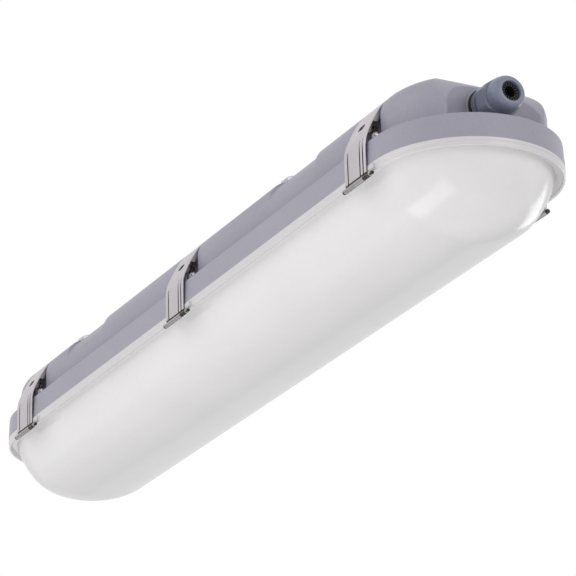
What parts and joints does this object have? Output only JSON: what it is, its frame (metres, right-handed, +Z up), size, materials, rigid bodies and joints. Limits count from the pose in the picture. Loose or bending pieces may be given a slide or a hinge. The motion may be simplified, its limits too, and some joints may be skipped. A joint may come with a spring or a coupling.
{
  "type": "vapor tight light fixture",
  "caption": "Long round-ended ceiling light: grey moulded housing, opal bowl held by steel toggle latches, lamp gear inside, roof brackets and a cable gland on one end.",
  "frame": {"origin": "on the ceiling plane, at the middle of the fixture's length and width; the tops of both brackets lie in it", "axes": "+X along the fixture towards the cable gland, +Y across it away from the side the picture shows, +Z up into the ceiling"},
  "size_m": [0.66, 0.1334, 0.0936],
  "materials": {
    "housing_grey": "fine moulded satin",
    "opal_plastic": "smooth satin opal",
    "foam_rubber": "matte foam",
    "zinc_steel": "zinc plated",
    "stainless_steel": "bright rolled",
    "dark_steel": "dark oiled",
    "white_paint": "semi-gloss white",
    "board_white": "white solder mask",
    "driver_case": "matte",
    "terminal_beige": "matte",
    "brown_insulation": "smooth",
    "blue_insulation": "smooth",
    "green_insulation": "smooth",
    "red_insulation": "smooth",
    "black_insulation": "smooth",
    "gland_grey": "satin nylon",
    "gland_rubber": "matte"
  },
  "bodies": {
    "fixture": {"housing": "housing_grey", "housing_gasket": "foam_rubber", "diffuser": "opal_plastic", "ceiling_bracket_1": "zinc_steel", "ceiling_bracket_2": "zinc_steel", "gear_tray": "white_paint", "led_board_near": "board_white", "led_board_far": "board_white", "led_driver": "driver_case", "terminal_block": "terminal_beige", "line_wire": "brown_insulation", "neutral_wire": "blue_insulation", "earth_wire": "green_insulation", "led_wire_positive": "red_insulation", "led_wire_negative": "black_insulation", "earth_screw": "zinc_steel", "gland_washer": "gland_rubber", "gland_body": "gland_grey", "gland_locknut": "gland_grey", "gland_seal": "gland_rubber", "tray_screw_1": "zinc_steel", "tray_screw_2": "zinc_steel", "tray_screw_3": "zinc_steel", "tray_screw_4": "zinc_steel", "driver_screw_1": "zinc_steel", "driver_screw_2": "zinc_steel"},
    "near_left_bail": {"latch_near_left_bail": "dark_steel"},
    "near_left_lever": {"latch_near_left_lever": "stainless_steel", "latch_near_left_hook_rod": "dark_steel"},
    "near_middle_bail": {"latch_near_middle_bail": "dark_steel"},
    "near_middle_lever": {"latch_near_middle_lever": "stainless_steel", "latch_near_middle_hook_rod": "dark_steel"},
    "near_right_bail": {"latch_near_right_bail": "dark_steel"},
    "near_right_lever": {"latch_near_right_lever": "stainless_steel", "latch_near_right_hook_rod": "dark_steel"},
    "far_left_bail": {"latch_far_left_bail": "dark_steel"},
    "far_left_lever": {"latch_far_left_lever": "stainless_steel", "latch_far_left_hook_rod": "dark_steel"},
    "far_middle_bail": {"latch_far_middle_bail": "dark_steel"},
    "far_middle_lever": {"latch_far_middle_lever": "stainless_steel", "latch_far_middle_hook_rod": "dark_steel"},
    "far_right_bail": {"latch_far_right_bail": "dark_steel"},
    "far_right_lever": {"latch_far_right_lever": "stainless_steel", "latch_far_right_hook_rod": "dark_steel"},
    "dome_nut": {"gland_nut": "gland_grey"}
  },
  "joints": [
    {"name": "near_left_bail_hinge", "type": "hinge", "parent": "fixture", "child": "near_left_bail", "pos_m": [-0.248, -0.0575, -0.0311], "axis": [1, 0, 0], "range_deg": [0, 120]},
    {"name": "near_left_lever_hinge", "type": "hinge", "parent": "near_left_bail", "child": "near_left_lever", "pos_m": [-0.248, -0.0546, -0.0226], "axis": [1, 0, 0], "range_deg": [-96, 0]},
    {"name": "near_middle_bail_hinge", "type": "hinge", "parent": "fixture", "child": "near_middle_bail", "pos_m": [0, -0.0575, -0.0311], "axis": [1, 0, 0], "range_deg": [0, 120]},
    {"name": "near_middle_lever_hinge", "type": "hinge", "parent": "near_middle_bail", "child": "near_middle_lever", "pos_m": [0, -0.0546, -0.0226], "axis": [1, 0, 0], "range_deg": [-96, 0]},
    {"name": "near_right_bail_hinge", "type": "hinge", "parent": "fixture", "child": "near_right_bail", "pos_m": [0.248, -0.0575, -0.0311], "axis": [1, 0, 0], "range_deg": [0, 120]},
    {"name": "near_right_lever_hinge", "type": "hinge", "parent": "near_right_bail", "child": "near_right_lever", "pos_m": [0.248, -0.0546, -0.0226], "axis": [1, 0, 0], "range_deg": [-96, 0]},
    {"name": "far_left_bail_hinge", "type": "hinge", "parent": "fixture", "child": "far_left_bail", "pos_m": [-0.248, 0.0575, -0.0311], "axis": [-1, 0, 0], "range_deg": [0, 120]},
    {"name": "far_left_lever_hinge", "type": "hinge", "parent": "far_left_bail", "child": "far_left_lever", "pos_m": [-0.248, 0.0546, -0.0226], "axis": [-1, 0, 0], "range_deg": [-96, 0]},
    {"name": "far_middle_bail_hinge", "type": "hinge", "parent": "fixture", "child": "far_middle_bail", "pos_m": [0, 0.0575, -0.0311], "axis": [-1, 0, 0], "range_deg": [0, 120]},
    {"name": "far_middle_lever_hinge", "type": "hinge", "parent": "far_middle_bail", "child": "far_middle_lever", "pos_m": [0, 0.0546, -0.0226], "axis": [-1, 0, 0], "range_deg": [-96, 0]},
    {"name": "far_right_bail_hinge", "type": "hinge", "parent": "fixture", "child": "far_right_bail", "pos_m": [0.248, 0.0575, -0.0311], "axis": [-1, 0, 0], "range_deg": [0, 120]},
    {"name": "far_right_lever_hinge", "type": "hinge", "parent": "far_right_bail", "child": "far_right_lever", "pos_m": [0.248, 0.0546, -0.0226], "axis": [-1, 0, 0], "range_deg": [-96, 0]},
    {"name": "dome_nut_turn", "type": "hinge", "parent": "fixture", "child": "dome_nut", "pos_m": [0.32, 0, -0.0175], "axis": [1, 0, 0], "continuous": true}
  ],
  "couplings": [
    {"joint": "near_left_lever_hinge", "follows": "near_left_bail_hinge", "ratio": -0.8},
    {"joint": "near_middle_lever_hinge", "follows": "near_middle_bail_hinge", "ratio": -0.8},
    {"joint": "near_right_lever_hinge", "follows": "near_right_bail_hinge", "ratio": -0.8},
    {"joint": "far_left_lever_hinge", "follows": "far_left_bail_hinge", "ratio": -0.8},
    {"joint": "far_middle_lever_hinge", "follows": "far_middle_bail_hinge", "ratio": -0.8},
    {"joint": "far_right_lever_hinge", "follows": "far_right_bail_hinge", "ratio": -0.8}
  ]
}
